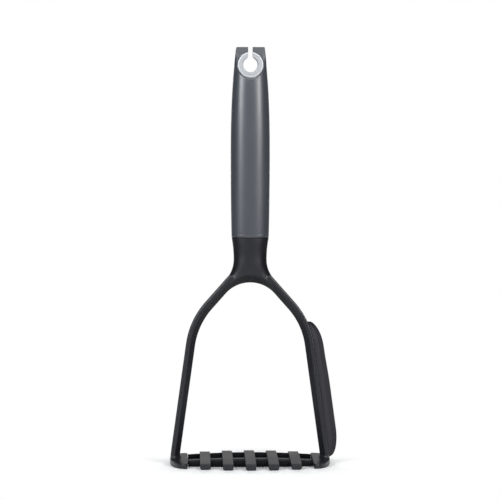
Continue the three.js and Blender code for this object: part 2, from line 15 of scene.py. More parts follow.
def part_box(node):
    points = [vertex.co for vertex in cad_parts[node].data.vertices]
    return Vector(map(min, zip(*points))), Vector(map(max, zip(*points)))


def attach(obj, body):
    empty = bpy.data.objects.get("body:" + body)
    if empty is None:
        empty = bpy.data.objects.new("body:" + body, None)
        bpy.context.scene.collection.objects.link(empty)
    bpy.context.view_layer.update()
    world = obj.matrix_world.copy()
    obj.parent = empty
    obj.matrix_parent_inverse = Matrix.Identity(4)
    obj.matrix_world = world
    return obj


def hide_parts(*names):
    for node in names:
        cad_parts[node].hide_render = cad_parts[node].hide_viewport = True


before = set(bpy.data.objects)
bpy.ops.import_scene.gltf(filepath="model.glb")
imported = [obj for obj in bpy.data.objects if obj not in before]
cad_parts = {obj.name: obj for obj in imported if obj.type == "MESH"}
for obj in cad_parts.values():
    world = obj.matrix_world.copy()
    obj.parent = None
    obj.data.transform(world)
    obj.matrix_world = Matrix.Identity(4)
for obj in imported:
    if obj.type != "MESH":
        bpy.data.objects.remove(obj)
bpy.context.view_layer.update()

MM = 0.001
CLOSE = 0.001 * MM
print("nodes", sorted(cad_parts))

# %% [markdown]
# Blender's operators act on whatever is selected, and the frame arrives all selected. So every step
# starts with nothing selected, and then picks what it needs by place or by the way that it faces.
# These few helpers are the hands of the lesson.

# %% Selecting and editing
def put_down():
    """Leaves edit mode and lets go of everything."""
    if bpy.context.object and bpy.context.object.mode != "OBJECT":
        bpy.ops.object.mode_set(mode="OBJECT")
    bpy.ops.object.select_all(action="DESELECT")


def take(piece):
    """Selects one piece and makes it the active one."""
    put_down()
    piece.select_set(True)
    bpy.context.view_layer.objects.active = piece


def edit(piece):
    """Goes into edit mode with the whole of a piece selected."""
    take(piece)
    bpy.ops.object.mode_set(mode="EDIT")
    bpy.ops.mesh.select_mode(type="VERT")
    bpy.ops.mesh.select_all(action="SELECT")


def pick(piece, kind, test):
    """In edit mode, selects the vertices, edges or faces whose middle and direction pass the test."""
    bpy.ops.mesh.select_mode(type=kind)
    bpy.ops.mesh.select_all(action="DESELECT")
    mesh = bmesh.from_edit_mesh(piece.data)
    if kind == "VERT":
        for v in mesh.verts:
            v.select_set(test(v.co, v.normal))
    elif kind == "EDGE":
        for e in mesh.edges:
            a, b = (v.co for v in e.verts)
            e.select_set(test((a + b) / 2, (b - a).normalized()))
    else:
        for f in mesh.faces:
            f.select_set(test(f.calc_center_median(), f.normal))
    mesh.select_flush_mode()
    bmesh.update_edit_mesh(piece.data)


def tidy(piece):
    """Merges doubles, turns every face outwards and goes back to object mode."""
    bpy.ops.mesh.select_mode(type="VERT")
    bpy.ops.mesh.select_all(action="SELECT")
    bpy.ops.mesh.remove_doubles(threshold=CLOSE)
    bpy.ops.mesh.normals_make_consistent(inside=False)
    bpy.ops.object.mode_set(mode="OBJECT")


def said(piece):
    """Prints a piece's faces, its size, and whether its skin is closed."""
    mesh = bmesh.new()
    mesh.from_mesh(piece.data)
    loose = sum(len(e.link_faces) != 2 for e in mesh.edges)
    low = [min(v.co[k] for v in mesh.verts) / MM for k in range(3)]
    high = [max(v.co[k] for v in mesh.verts) / MM for k in range(3)]
    volume = mesh.calc_volume(signed=True) / MM ** 3
    mesh.free()
    print(piece.name, len(piece.data.polygons), "faces,", loose, "open edges,", round(volume), "mm3, from",
          [round(c, 2) for c in low], "to", [round(c, 2) for c in high])


# %% Primitives at their size and place
def centred(piece, name, size, turn=(0, 0, 0)):
    """Names a new primitive and settles its place, turn and size into its mesh."""
    piece.name = name
    piece.scale = size
    piece.rotation_euler = turn
    bpy.ops.object.transform_apply(location=True, rotation=True, scale=True)
    return piece


def block(name, low, high):
    put_down()
    low, high = Vector(low), Vector(high)
    bpy.ops.mesh.primitive_cube_add(size=1, location=(low + high) / 2)
    return centred(bpy.context.object, name, high - low)


def sheet(name, low, high):
    """A flat rectangle, level, from one corner to the other."""
    put_down()
    low, high = Vector(low), Vector(high)
    bpy.ops.mesh.primitive_plane_add(size=1, location=(low + high) / 2)
    return centred(bpy.context.object, name, (high.x - low.x, high.y - low.y, 1))


def drum(name, radius, length, place, vertices, tip_radius=None):
    """A cylinder, or a cone, that lies along Y, centred on its place."""
    put_down()
    bpy.ops.mesh.primitive_cone_add(vertices=vertices, radius1=radius, depth=length, location=place,
                                    radius2=radius if tip_radius is None else tip_radius)
    return centred(bpy.context.object, name, (1, 1, 1), (-math.pi / 2, 0, 0))


# %% Modifiers, applied one at a time
def modify(piece, kind, **settings):
    take(piece)
    modifier = piece.modifiers.new(kind.title(), kind)
    for key, value in settings.items():
        setattr(modifier, key, value)
    bpy.ops.object.modifier_apply(modifier=modifier.name)


def combine(piece, tool, operation):
    """Adds, cuts away or keeps what a second solid covers, and then throws that solid away."""
    modify(piece, "BOOLEAN", object=tool, operation=operation, solver="EXACT")
    bpy.data.objects.remove(tool)


def soften(piece, voxel, rounds):
    """Remelts a solid into an even skin and rubs it, which rounds every edge as a mould does."""
    modify(piece, "REMESH", mode="VOXEL", voxel_size=voxel, adaptivity=0)
    modify(piece, "SMOOTH", factor=0.5, iterations=rounds)


def smooth(piece, angle):
    """Shades a piece smooth, but for the edges that turn by more than the angle in degrees."""
    take(piece)
    bpy.ops.object.shade_smooth_by_angle(angle=math.radians(angle))


# %% [markdown]
# ## The grip
# The real grip is a soft sleeve moulded over a stiff core. Its section is a fat oval, between an
# ellipse and a rectangle. A plane whose four corners are bevelled until they meet is just that curve,
# and the bevel's profile sets how square it is. The oval is then extruded upwards and resized, level
# by level, so it swells to a belly and narrows to the top.

# %% A fat oval
OVAL_POWER = 2.4


def fat_oval(name, half_width, half_depth, height, steps):
    """A level outline whose width and depth obey |x|^power + |y|^power = 1."""
    piece = sheet(name, (-half_width, -half_depth, height), (half_width, half_depth, height))
    edit(piece)
    bpy.ops.mesh.bevel(offset_type="PERCENT", offset_pct=50, segments=steps,
                       profile=2 ** (-2 / OVAL_POWER), affect="VERTICES")
    bpy.ops.mesh.select_all(action="SELECT")
    bpy.ops.mesh.remove_doubles(threshold=CLOSE)
    return piece


def raise_levels(levels):
    """Extrudes the selected outline through (height, half width, half depth) levels."""
    for (z0, w0, d0), (z1, w1, d1) in zip(levels, levels[1:]):
        bpy.ops.mesh.extrude_region_move(TRANSFORM_OT_translate={"value": (0, 0, z1 - z0)})
        bpy.ops.transform.resize(value=(w1 / w0, d1 / d0, 1), center_override=(0, 0, z1))


def oval_loft(name, levels, steps=14):
    height, half_width, half_depth = levels[0]
    piece = fat_oval(name, half_width, half_depth, height, steps)
    raise_levels(levels)
    tidy(piece)
    return piece


# %% The grip's own shape
grip_low, grip_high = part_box("grip_sleeve")
eye_low, eye_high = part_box("hanging_eye")
GRIP_LENGTH = grip_high.z - grip_low.z
GRIP_STEPS = 32
HALF_WIDTH_AT = {"end": 12.9 * MM, "belly": 13.5 * MM, "top": 9.75 * MM}
HALF_DEPTH_AT = {"end": 10.3 * MM, "belly": 11.6 * MM, "top": 8 * MM}
BELLY_HEIGHT = 56 * MM
SWELL_POWER, TAPER_POWER = 2, 2.5
LIP_HEIGHT, LIP_ROUND, LIP_GROOVE, END_INSET = 2.6 * MM, 0.4 * MM, 0.12 * MM, 0.35 * MM
EYE_RADIUS = (eye_high.x - eye_low.x) / 2
EYE_DROP = grip_high.z - (eye_low.z + EYE_RADIUS)
TRIM_START = GRIP_LENGTH - EYE_DROP
TRIM_SPARE = 0.36


def grip_size(height, end, belly, top):
    """Half the width or the depth at a height above the seam."""
    if height < BELLY_HEIGHT:
        return belly - (belly - end) * (1 - height / BELLY_HEIGHT) ** SWELL_POWER
    share = (height - BELLY_HEIGHT) / (GRIP_LENGTH - BELLY_HEIGHT)
    return belly - (belly - top) * share ** TAPER_POWER


def grip_level(height, inset=0.0, spare=0.0):
    """The height, half width and half depth of one level, with room to spare for the trim."""
    half_width = grip_size(height, **HALF_WIDTH_AT) * (1 + spare) - inset
    half_depth = grip_size(height, **HALF_DEPTH_AT) - inset
    return (grip_low.z + height, half_width, half_depth)


def ease(share):
    """Goes from 0 to 1 with a soft start and a soft end."""
    share = min(1, max(0, share))
    return share * share * (3 - 2 * share)


grip_levels = [grip_level(0, END_INSET), grip_level(LIP_ROUND), grip_level(LIP_HEIGHT - LIP_ROUND),
               grip_level(LIP_HEIGHT, LIP_GROOVE), grip_level(LIP_HEIGHT + LIP_ROUND)]
for k in range(1, GRIP_STEPS + 1):
    height = GRIP_LENGTH * k / GRIP_STEPS
    grip_levels.append(grip_level(height, spare=TRIM_SPARE * ease((height - TRIM_START) / EYE_DROP)))
grip = oval_loft("grip", grip_levels)
said(grip)

# %% [markdown]
# Towards the top the oval is made wider than the grip and then trimmed by a shaped block on each side.
# That squares the shoulders of the section, so that the flat pads reach right out to the edges.
# A moulding has no sharp edges, and a bevel fails where many joined edges cross. So the solid is remelted
# into an even skin by a voxel remesh and rubbed, and what has to stay crisp is cut after that.

# %% Square shoulders at the top
TRIM_INNER, TRIM_OUTER, TRIM_HALF_DEPTH = 9.6 * MM, 22 * MM, 16 * MM
TRIM_STEPS = 10
TRIM_PROUD = 0.01 * MM
GRIP_VOXEL, GRIP_RUBS = 0.4 * MM, 5

trim = block("trim", (TRIM_INNER, -TRIM_HALF_DEPTH, grip_low.z + TRIM_START),
             (TRIM_OUTER, TRIM_HALF_DEPTH, grip_high.z + 1 * MM))
edit(trim)
trim_heights = [TRIM_START + (GRIP_LENGTH - TRIM_START) * k / TRIM_STEPS for k in range(1, TRIM_STEPS + 1)]
for height in trim_heights:
    bpy.ops.mesh.select_all(action="SELECT")
    bpy.ops.mesh.bisect(plane_co=(0, 0, grip_low.z + height), plane_no=(0, 0, 1))
for height in [TRIM_START] + trim_heights:
    pick(trim, "VERT", lambda co, normal: co.x < (TRIM_INNER + TRIM_OUTER) / 2
         and abs(co.z - grip_low.z - height) < CLOSE)
    bpy.ops.transform.translate(value=(grip_level(height)[1] + TRIM_PROUD - TRIM_INNER, 0, 0))
tidy(trim)
modify(trim, "MIRROR", use_axis=(True, False, False), use_mirror_merge=False)
edit(trim)
tidy(trim)
combine(grip, trim, "DIFFERENCE")
soften(grip, GRIP_VOXEL, GRIP_RUBS)
said(grip)

# %% [markdown]
# The top of the sleeve is pressed flat round the hanging eye. Under the eye the flat ends in a round
# scooped wall, so the cutter for each face is a wide cone with a block over its upper half. A bore
# takes the eye, and a slot opens it to the top. The cutters are light and the grip's skin is dense, so
# they are all added together first, with the hollow for the core, and then taken away in one cut.

# %% Flat pads, bore and slot
EYE_RAISE = 0.3 * MM
EYE_PLACE = Vector((0, 0, eye_low.z + EYE_RADIUS + EYE_RAISE))
PAD_HALF_DEPTH = 6 * MM
SLOT_WIDTH = 3.3 * MM
FIT_GAP, EYE_GAP = 0.3 * MM, 0.08 * MM
SCOOP_MARGIN, SCOOP_SLOPE = 0.35 * MM, 0.15
ROUND_SIDES = 128
CUT = 9 * MM

cutter = drum("bore", EYE_RADIUS + EYE_GAP, 4 * CUT, EYE_PLACE, vertices=ROUND_SIDES)
for side in (-1, 1):
    middle = EYE_PLACE + Vector((0, side * (PAD_HALF_DEPTH + CUT / 2), 0))
    foot = EYE_RADIUS + SCOOP_MARGIN
    mouth = foot + SCOOP_SLOPE * CUT
    front, back = (foot, mouth) if side > 0 else (mouth, foot)
    combine(cutter, drum("scoop", front, CUT, middle, vertices=ROUND_SIDES, tip_radius=back), "UNION")
    near, far = sorted((side * PAD_HALF_DEPTH, side * (PAD_HALF_DEPTH + CUT)))
    pad = block("pad", (-2 * CUT, near, EYE_PLACE.z), (2 * CUT, far, grip_high.z + CUT))
    combine(cutter, pad, "UNION")
slot = block("slot", (-SLOT_WIDTH / 2, -2 * CUT, EYE_PLACE.z), (SLOT_WIDTH / 2, 2 * CUT, grip_high.z + CUT))
combine(cutter, slot, "UNION")
said(cutter)

# %% Hollow the grip for the core
core_low, core_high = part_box("handle_core")
CAVITY_HALF_WIDTH, CAVITY_HALF_DEPTH = 8.9 * MM, 6.9 * MM
CAVITY_NARROWS, CAVITY_THINS = 3.2 * MM, 2.6 * MM
CAVITY_TAPER, CAVITY_STEPS = 26 * MM, 4

cavity_levels = [(core_low.z - 2 * MM, CAVITY_HALF_WIDTH, CAVITY_HALF_DEPTH)]
for k in range(CAVITY_STEPS + 1):
    share = k / CAVITY_STEPS
    cavity_levels.append((core_high.z - CAVITY_TAPER * (1 - share) + FIT_GAP * share,
                          CAVITY_HALF_WIDTH - CAVITY_NARROWS * share ** 2,
                          CAVITY_HALF_DEPTH - CAVITY_THINS * share ** 2))
combine(cutter, oval_loft("cavity", cavity_levels, steps=8), "UNION")
combine(grip, cutter, "DIFFERENCE")
smooth(grip, 50)
said(grip)

# %% [markdown]
# ## The hanging eye
# A pale plastic ring is set into the pad. Its section is drawn once, as a rectangle with round corners
# and a shallow dish in both faces, and spun about the eye's middle. A block that widens towards the
# hole is then cut out of the ring, which gives the keyhole its shape.

# %% The section of the ring
EYE_HALF_DEPTH = (eye_high.y - eye_low.y) / 2
EYE_HOLE = 5.05 * MM
EYE_EDGE = 1.1 * MM
DISH_DEPTH = 0.12 * MM
DISH_CUTS = 11

eye = sheet("eye", (EYE_HOLE, -EYE_HALF_DEPTH, EYE_PLACE.z), (EYE_RADIUS, EYE_HALF_DEPTH, EYE_PLACE.z))
edit(eye)
bpy.ops.mesh.bevel(offset_type="ABSOLUTE", offset=EYE_EDGE, segments=8, affect="VERTICES")
bpy.ops.mesh.select_all(action="SELECT")
bpy.ops.mesh.delete(type="ONLY_FACE")
pick(eye, "EDGE", lambda co, along: abs(along.x) > 0.99 and abs(co.y) > EYE_HALF_DEPTH - CLOSE)
bpy.ops.mesh.subdivide(number_cuts=DISH_CUTS)
dish_width = EYE_RADIUS - EYE_HOLE - 2 * EYE_EDGE
for k in range(1, DISH_CUTS + 1):
    share = k / (DISH_CUTS + 1)
    radius = EYE_HOLE + EYE_EDGE + dish_width * share
    pick(eye, "VERT", lambda co, normal: abs(co.x - radius) < 10 * CLOSE
         and abs(co.y) > EYE_HALF_DEPTH - CLOSE)
    sunk = DISH_DEPTH * math.sin(math.pi * share) ** 2
    bpy.ops.transform.resize(value=(1, 1 - sunk / EYE_HALF_DEPTH, 1), center_override=EYE_PLACE)

# %% Spin the section, and cut the keyway
bpy.ops.mesh.select_all(action="SELECT")
bpy.ops.mesh.spin(steps=ROUND_SIDES, angle=2 * math.pi, center=EYE_PLACE, axis=(0, 1, 0))
tidy(eye)
said(eye)

KEY_START, KEY_END, KEY_FLARE, KEY_STEPS = 4 * MM, 6.6 * MM, 1.3 * MM, 6
keyway = block("keyway", (-SLOT_WIDTH / 2, -2 * CUT, EYE_PLACE.z + KEY_START),
               (SLOT_WIDTH / 2, 2 * CUT, grip_high.z + CUT))
edit(keyway)
key_heights = [EYE_PLACE.z + KEY_START + (KEY_END - KEY_START) * k / KEY_STEPS for k in range(KEY_STEPS + 1)]
for height in key_heights[1:]:
    bpy.ops.mesh.select_all(action="SELECT")
    bpy.ops.mesh.bisect(plane_co=(0, 0, height), plane_no=(0, 0, 1))
for k, height in enumerate(key_heights[:-1]):
    pick(keyway, "VERT", lambda co, normal: abs(co.z - height) < CLOSE)
    bpy.ops.transform.resize(value=(1 + KEY_FLARE * (1 - k / KEY_STEPS) ** 2 / (SLOT_WIDTH / 2), 1, 1),
                             center_override=EYE_PLACE)
tidy(keyway)
combine(eye, keyway, "DIFFERENCE")
smooth(eye, 50)
said(eye)

# %% [markdown]
# ## The path of an arm
# Each arm of the yoke stands on a foot, leans in, turns further over at the shoulder and runs straight
# into the crotch. Bending a finished bar needs a window, so the bar is hinged instead: it is extruded
# straight with a ring at each hinge, and all that is above a ring is turned a little about it, from the
# top ring down. The scraper blade lies on the same path, so it is hinged the same way.

# %% Lengths along the arm
foot_low, foot_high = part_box("foot_bar_right")
ARM_WIDTH = 6.4 * MM
ARM_LEAN = math.radians(7.9)
ARM_SPREAD = math.radians(41.5)
SHOULDER_RADIUS = 52 * MM
CROTCH_RADIUS, CROTCH_TOP = 22.6 * MM, 126.2 * MM
CROTCH_CENTRE = Vector((0, 0, CROTCH_TOP - CROTCH_RADIUS))
SEAT_HEIGHT = 3.86 * MM
HINGES = 20

seat = Vector((foot_high.x - ARM_WIDTH / 2 / math.cos(ARM_LEAN), 0, SEAT_HEIGHT))
straight_run = (CROTCH_RADIUS + ARM_WIDTH / 2) * Vector((math.cos(ARM_SPREAD), 0, math.sin(ARM_SPREAD)))
crotch_end = CROTCH_CENTRE + straight_run
corner_height = ((crotch_end.x + math.tan(ARM_SPREAD) * crotch_end.z - seat.x - math.tan(ARM_LEAN) * seat.z)
                 / (math.tan(ARM_SPREAD) - math.tan(ARM_LEAN)))
corner = Vector((seat.x - math.tan(ARM_LEAN) * (corner_height - seat.z), 0, corner_height))
shoulder_turn = ARM_SPREAD - ARM_LEAN
tangent = SHOULDER_RADIUS * math.tan(shoulder_turn / 2)
lower_length = (corner.z - seat.z) / math.cos(ARM_LEAN) - tangent
shoulder_length = SHOULDER_RADIUS * shoulder_turn
arm_length = lower_length + shoulder_length + (corner - crotch_end).length - tangent
hinge_lengths = [lower_length + shoulder_length * (k + 0.5) / HINGES for k in range(HINGES)]
print("arm lengths in mm", [round(c / MM, 2) for c in (lower_length, shoulder_length, arm_length)])


# %% Hinging a straight bar onto the path
def lay_on_arm(piece):
    """Turns a bar that stands on the origin into the shape of the right arm, and puts it on its foot."""
    edit(piece)
    for hinge in reversed(hinge_lengths):
        pick(piece, "VERT", lambda co, normal: co.z > hinge - CLOSE)
        bpy.ops.transform.rotate(value=shoulder_turn / HINGES, orient_axis="Y", center_override=(0, 0, hinge))
    bpy.ops.mesh.select_all(action="SELECT")
    bpy.ops.transform.rotate(value=ARM_LEAN, orient_axis="Y", center_override=(0, 0, 0))
    bpy.ops.transform.translate(value=seat)
    tidy(piece)


# %% [markdown]
# ## The yoke
# Neck, crotch and arms are one black nylon moulding. An arm is a bar with a wide flat bevel along its
# inner side, which carries on round the crotch as a shaded band. The neck is another swelling oval. The
# crotch is cut by a drum with a cone on each face, so its bevel meets the arms' bevels exactly.

# %% One arm, straight
ARM_HALF_DEPTH = 6.1 * MM
ARM_BEVEL = 3.6 * MM
ARM_ROUND = 0.4 * MM
ARM_START, ARM_SPARE = -6 * MM, 12 * MM

arms = sheet("wishbone", (-ARM_WIDTH / 2, -ARM_HALF_DEPTH, ARM_START),
             (ARM_WIDTH / 2, ARM_HALF_DEPTH, ARM_START))
edit(arms)
pick(arms, "VERT", lambda co, normal: co.x < 0)
bpy.ops.mesh.bevel(offset_type="ABSOLUTE", offset=ARM_BEVEL, segments=1, affect="VERTICES")
pick(arms, "VERT", lambda co, normal: co.x > ARM_WIDTH / 2 - CLOSE)
bpy.ops.mesh.bevel(offset_type="ABSOLUTE", offset=ARM_ROUND, segments=6, affect="VERTICES")
bpy.ops.mesh.select_all(action="SELECT")
arm_rings = [ARM_START] + hinge_lengths + [arm_length + ARM_SPARE]
for below, above in zip(arm_rings, arm_rings[1:]):
    bpy.ops.mesh.extrude_region_move(TRANSFORM_OT_translate={"value": (0, 0, above - below)})
tidy(arms)
said(arms)
lay_on_arm(arms)

# %% The foot of the arm spreads over the plate in a small cove
COVE_HEIGHT, COVE_REACH, COVE_STEPS = 2.4 * MM, 0.8, 6
INTO_FOOT = 1.6 * MM

edit(arms)
bpy.ops.mesh.bisect(plane_co=(0, 0, seat.z + COVE_HEIGHT), plane_no=(0, 0, 1),
                    use_fill=True, clear_inner=True)
cove_spreads = [COVE_REACH * COVE_HEIGHT * (1 - math.sqrt(1 - (k / COVE_STEPS) ** 2))
                for k in range(COVE_STEPS + 1)]
for last, spread in zip(cove_spreads, cove_spreads[1:]):
    pick(arms, "FACE", lambda co, normal: normal.z < -0.99 and co.z < seat.z + COVE_HEIGHT + CLOSE)
    bpy.ops.mesh.extrude_region_move(TRANSFORM_OT_translate={"value": (0, 0, -COVE_HEIGHT / COVE_STEPS)})
    wider = (ARM_WIDTH / 2 + spread / 2) / (ARM_WIDTH / 2 + last / 2)
    deeper = (ARM_HALF_DEPTH + spread) / (ARM_HALF_DEPTH + last)
    bpy.ops.transform.resize(value=(wider, deeper, 1), center_override=(foot_high.x, 0, 0))
pick(arms, "FACE", lambda co, normal: normal.z < -0.99 and co.z < seat.z + CLOSE)
bpy.ops.mesh.extrude_region_move(TRANSFORM_OT_translate={"value": (0, 0, -INTO_FOOT)})
tidy(arms)
modify(arms, "MIRROR", use_axis=(True, False, False))
edit(arms)
tidy(arms)
said(arms)

# %% The neck
WAIST_HALF_WIDTH = 11.4 * MM
FILLET_RADIUS = 20 * MM
FLARE_RADIUS = 80 * MM
SEAM_HEIGHT = grip_low.z - FIT_GAP
NECK_BASE, NECK_SPARE, NECK_STEPS = 119.2 * MM, 2 * MM, 24
BASE_HALF_DEPTH, WAIST_DEEPER, SEAM_DEEPER = 6 * MM, 3.3 * MM, 1 * MM
DEEPER_FROM = 116 * MM

outer_edge = crotch_end + ARM_WIDTH / 2 * Vector((math.cos(ARM_SPREAD), 0, math.sin(ARM_SPREAD)))
fillet_run = FILLET_RADIUS * (1 - math.cos(ARM_SPREAD))
fillet_rise = FILLET_RADIUS * math.sin(ARM_SPREAD)
waist = outer_edge.z + fillet_rise - (WAIST_HALF_WIDTH + fillet_run - outer_edge.x) / math.tan(ARM_SPREAD)
print("waist at", round(waist / MM, 2), "mm")


def neck_half_width(height):
    """One round flares up from the waist to the seam, and another falls from it into the arms."""
    rise = height - waist
    if rise > 0:
        return WAIST_HALF_WIDTH + FLARE_RADIUS - math.sqrt(FLARE_RADIUS ** 2 - rise ** 2)
    if -rise < fillet_rise:
        return WAIST_HALF_WIDTH + FILLET_RADIUS - math.sqrt(FILLET_RADIUS ** 2 - rise ** 2)
    return WAIST_HALF_WIDTH + fillet_run + (-rise - fillet_rise) * math.tan(ARM_SPREAD)


def neck_half_depth(height):
    lower = ease((height - DEEPER_FROM) / (waist - DEEPER_FROM))
    upper = ease((height - waist) / (SEAM_HEIGHT - waist))
    return BASE_HALF_DEPTH + WAIST_DEEPER * lower + SEAM_DEEPER * upper


neck_levels = []
for k in range(NECK_STEPS + 1):
    height = NECK_BASE + (SEAM_HEIGHT + NECK_SPARE - NECK_BASE) * k / NECK_STEPS
    neck_levels.append((height, neck_half_width(height), neck_half_depth(height)))
neck = oval_loft("neck", neck_levels)
said(neck)
combine(arms, neck, "UNION")

# %% The crotch
CROTCH_HALF_DEPTH, CONE_REACH, CROTCH_SIDES = 2.5 * MM, 12 * MM, 256

for side in (-1, 1):
    middle = CROTCH_CENTRE + Vector((0, side * (CROTCH_HALF_DEPTH + CONE_REACH / 2), 0))
    mouth = CROTCH_RADIUS + CONE_REACH
    front, back = (CROTCH_RADIUS, mouth) if side > 0 else (mouth, CROTCH_RADIUS)
    cone = drum("cone", front, CONE_REACH, middle, vertices=CROTCH_SIDES, tip_radius=back)
    combine(arms, cone, "DIFFERENCE")
crotch = drum("crotch", CROTCH_RADIUS, 2 * CROTCH_HALF_DEPTH + 1 * MM, CROTCH_CENTRE, vertices=CROTCH_SIDES)
combine(arms, crotch, "DIFFERENCE")
yoke = arms
said(yoke)

# %% [markdown]
# The yoke is remelted and rubbed like the grip. It is then cut level at the seam, so that the line where
# the grip begins stays crisp, and a narrower spigot goes up from there to the foot of the core.

# %% Soft edges, a crisp seam, and the spigot
YOKE_VOXEL, YOKE_RUBS = 0.42 * MM, 9
SPIGOT_STEP = 3.6 * MM

soften(yoke, YOKE_VOXEL, YOKE_RUBS)
edit(yoke)
bpy.ops.mesh.bisect(plane_co=(0, 0, SEAM_HEIGHT), plane_no=(0, 0, 1), use_fill=True, clear_outer=True)
pick(yoke, "FACE", lambda co, normal: normal.z > 0.99 and co.z > SEAM_HEIGHT - CLOSE)
bpy.ops.mesh.inset(thickness=SPIGOT_STEP)
bpy.ops.mesh.extrude_region_move(TRANSFORM_OT_translate={"value": (0, 0, core_low.z - FIT_GAP - SEAM_HEIGHT)})
tidy(yoke)
smooth(yoke, 60)
said(yoke)

# %% [markdown]
# ## The scraper blade
# A strip of softer rubber runs down the outside of the right arm, thick where it grips the arm and thin
# at its edge, for wiping a bowl. Its plan is a long quarter-round at each end, so each ring of the
# extrusion is resized across, about the blade's root.

# %% The blade's outline
BLADE_START, BLADE_END = 0.6 * MM, 95 * MM
BLADE_ROOT = ARM_WIDTH / 2 - FIT_GAP
TOP_ROUND, BOTTOM_ROUND = 19.6 * MM, 19 * MM
TOP_WIDTH, GROWN_BY, GROWS_OVER = 6.5 * MM, 0.65 * MM, 25 * MM
TIP_WIDTH = 0.4 * MM
ROOT_HALF_DEPTH, EDGE_HALF_DEPTH, MIDDLE_HALF_DEPTH = 4 * MM, 0.7 * MM, 2.7 * MM
RING_SPACE = 0.5 * MM
BLADE_STEPS = 48
BLADE_VOXEL, BLADE_RUBS = 0.25 * MM, 3


def blade_width(length):
    """How far the blade stands out from the arm's outer side."""
    from_top = min(1, (BLADE_END - length) / TOP_ROUND)
    from_bottom = min(1, (length - BLADE_START) / BOTTOM_ROUND)
    full = TOP_WIDTH + GROWN_BY * ease((BLADE_END - length - TOP_ROUND) / GROWS_OVER)
    rounded = math.sqrt(1 - (1 - from_top) ** 2) * math.sqrt(1 - (1 - from_bottom) ** 2)
    return TIP_WIDTH + (full - TIP_WIDTH) * rounded + FIT_GAP


even_lengths = [BLADE_START + (BLADE_END - BLADE_START) * (1 - math.cos(math.pi * k / BLADE_STEPS)) / 2
                for k in range(BLADE_STEPS + 1)]
straight_lengths = [length for length in even_lengths if length < hinge_lengths[0] - RING_SPACE]
turned_lengths = [length for length in hinge_lengths if length < BLADE_END - RING_SPACE]
blade_lengths = straight_lengths + turned_lengths + [BLADE_END]
print(len(blade_lengths), "rings,", len(turned_lengths), "of them at hinges")

# %% The section, thick at the root, crowned in the middle and thin at the edge
first_width = blade_width(BLADE_START)
blade = sheet("scraper", (BLADE_ROOT, -ROOT_HALF_DEPTH, BLADE_START),
              (BLADE_ROOT + first_width, ROOT_HALF_DEPTH, BLADE_START))
edit(blade)
pick(blade, "VERT", lambda co, normal: co.x > BLADE_ROOT + 0.1 * MM)
bpy.ops.transform.resize(value=(1, EDGE_HALF_DEPTH / ROOT_HALF_DEPTH, 1), center_override=(0, 0, 0))
bpy.ops.mesh.select_all(action="SELECT")
bpy.ops.mesh.bisect(plane_co=(BLADE_ROOT + first_width / 2, 0, 0), plane_no=(1, 0, 0))
crown = MIDDLE_HALF_DEPTH / ((ROOT_HALF_DEPTH + EDGE_HALF_DEPTH) / 2)
bpy.ops.transform.resize(value=(1, crown, 1), center_override=(0, 0, 0))

# %% Extruded along the arm
bpy.ops.mesh.select_all(action="SELECT")
for below, above in zip(blade_lengths, blade_lengths[1:]):
    bpy.ops.mesh.extrude_region_move(TRANSFORM_OT_translate={"value": (0, 0, above - below)})
    bpy.ops.transform.resize(value=(blade_width(above) / blade_width(below), 1, 1),
                             center_override=(BLADE_ROOT, 0, above))
tidy(blade)
lay_on_arm(blade)
soften(blade, BLADE_VOXEL, BLADE_RUBS)
smooth(blade, 60)
said(blade)

# %% [markdown]
# ## The mashing plate
# Five slats run from front to back between two foot bars. Their tops follow one shallow dome, and their
# lower edges are round. Each slat starts as a block. It is bevelled along its lower edges, bisected
# into short lengths, and the top of each cut is let down by what the dome falls there.

# %% The dome
FOOT_MIDDLE = 46.8 * MM
PLATE_REACH = 36.7 * MM
DOME_HEIGHT, DOME_FALL_ACROSS, DOME_FALL_ALONG = 5.4 * MM, 1.2 * MM, 1.4 * MM
SHARP = math.radians(40)


def dome(x, y):
    """The height of the plate's top at a place."""
    return DOME_HEIGHT - DOME_FALL_ACROSS * (x / FOOT_MIDDLE) ** 2 - DOME_FALL_ALONG * (y / PLATE_REACH) ** 2


def let_down(piece, axis, stations, top):
    """Cuts a piece across at each station and lowers its top there to the dome."""
    edit(piece)
    across = Vector((1, 0, 0)) if axis == 0 else Vector((0, 1, 0))
    for place in stations[1:-1]:
        bpy.ops.mesh.select_all(action="SELECT")
        bpy.ops.mesh.bisect(plane_co=across * place, plane_no=across)
    mesh = bmesh.from_edit_mesh(piece.data)
    for place in sorted({round(v.co[axis], 7) for v in mesh.verts if v.co.z > DOME_HEIGHT - CLOSE}):
        pick(piece, "VERT", lambda co, normal: abs(co[axis] - place) < CLOSE and co.z > DOME_HEIGHT - CLOSE)
        bpy.ops.transform.translate(value=(0, 0, top(place) - DOME_HEIGHT))
    tidy(piece)


def spaced(half, count):
    """Even stations from one end to the other, about the middle."""
    return [half * (2 * k / count - 1) for k in range(count + 1)]


def round_edges(piece, test, radius, segments):
    """Rounds the edges that pass the test."""
    edit(piece)
    pick(piece, "EDGE", test)
    bpy.ops.mesh.bevel(offset_type="OFFSET", offset=radius, segments=segments, affect="EDGES")
    tidy(piece)


def ease_corners(piece, width, segments):
    """Takes the sharpness off every edge that turns by more than the sharp angle."""
    modify(piece, "BEVEL", width=width, segments=segments, limit_method="ANGLE", angle_limit=SHARP)


# %% The slats
SLAT_SPREAD = Vector((0.2 * MM, 0, 0))
SLAT_ROUND, SLAT_EDGE = 1.8 * MM, 0.2 * MM

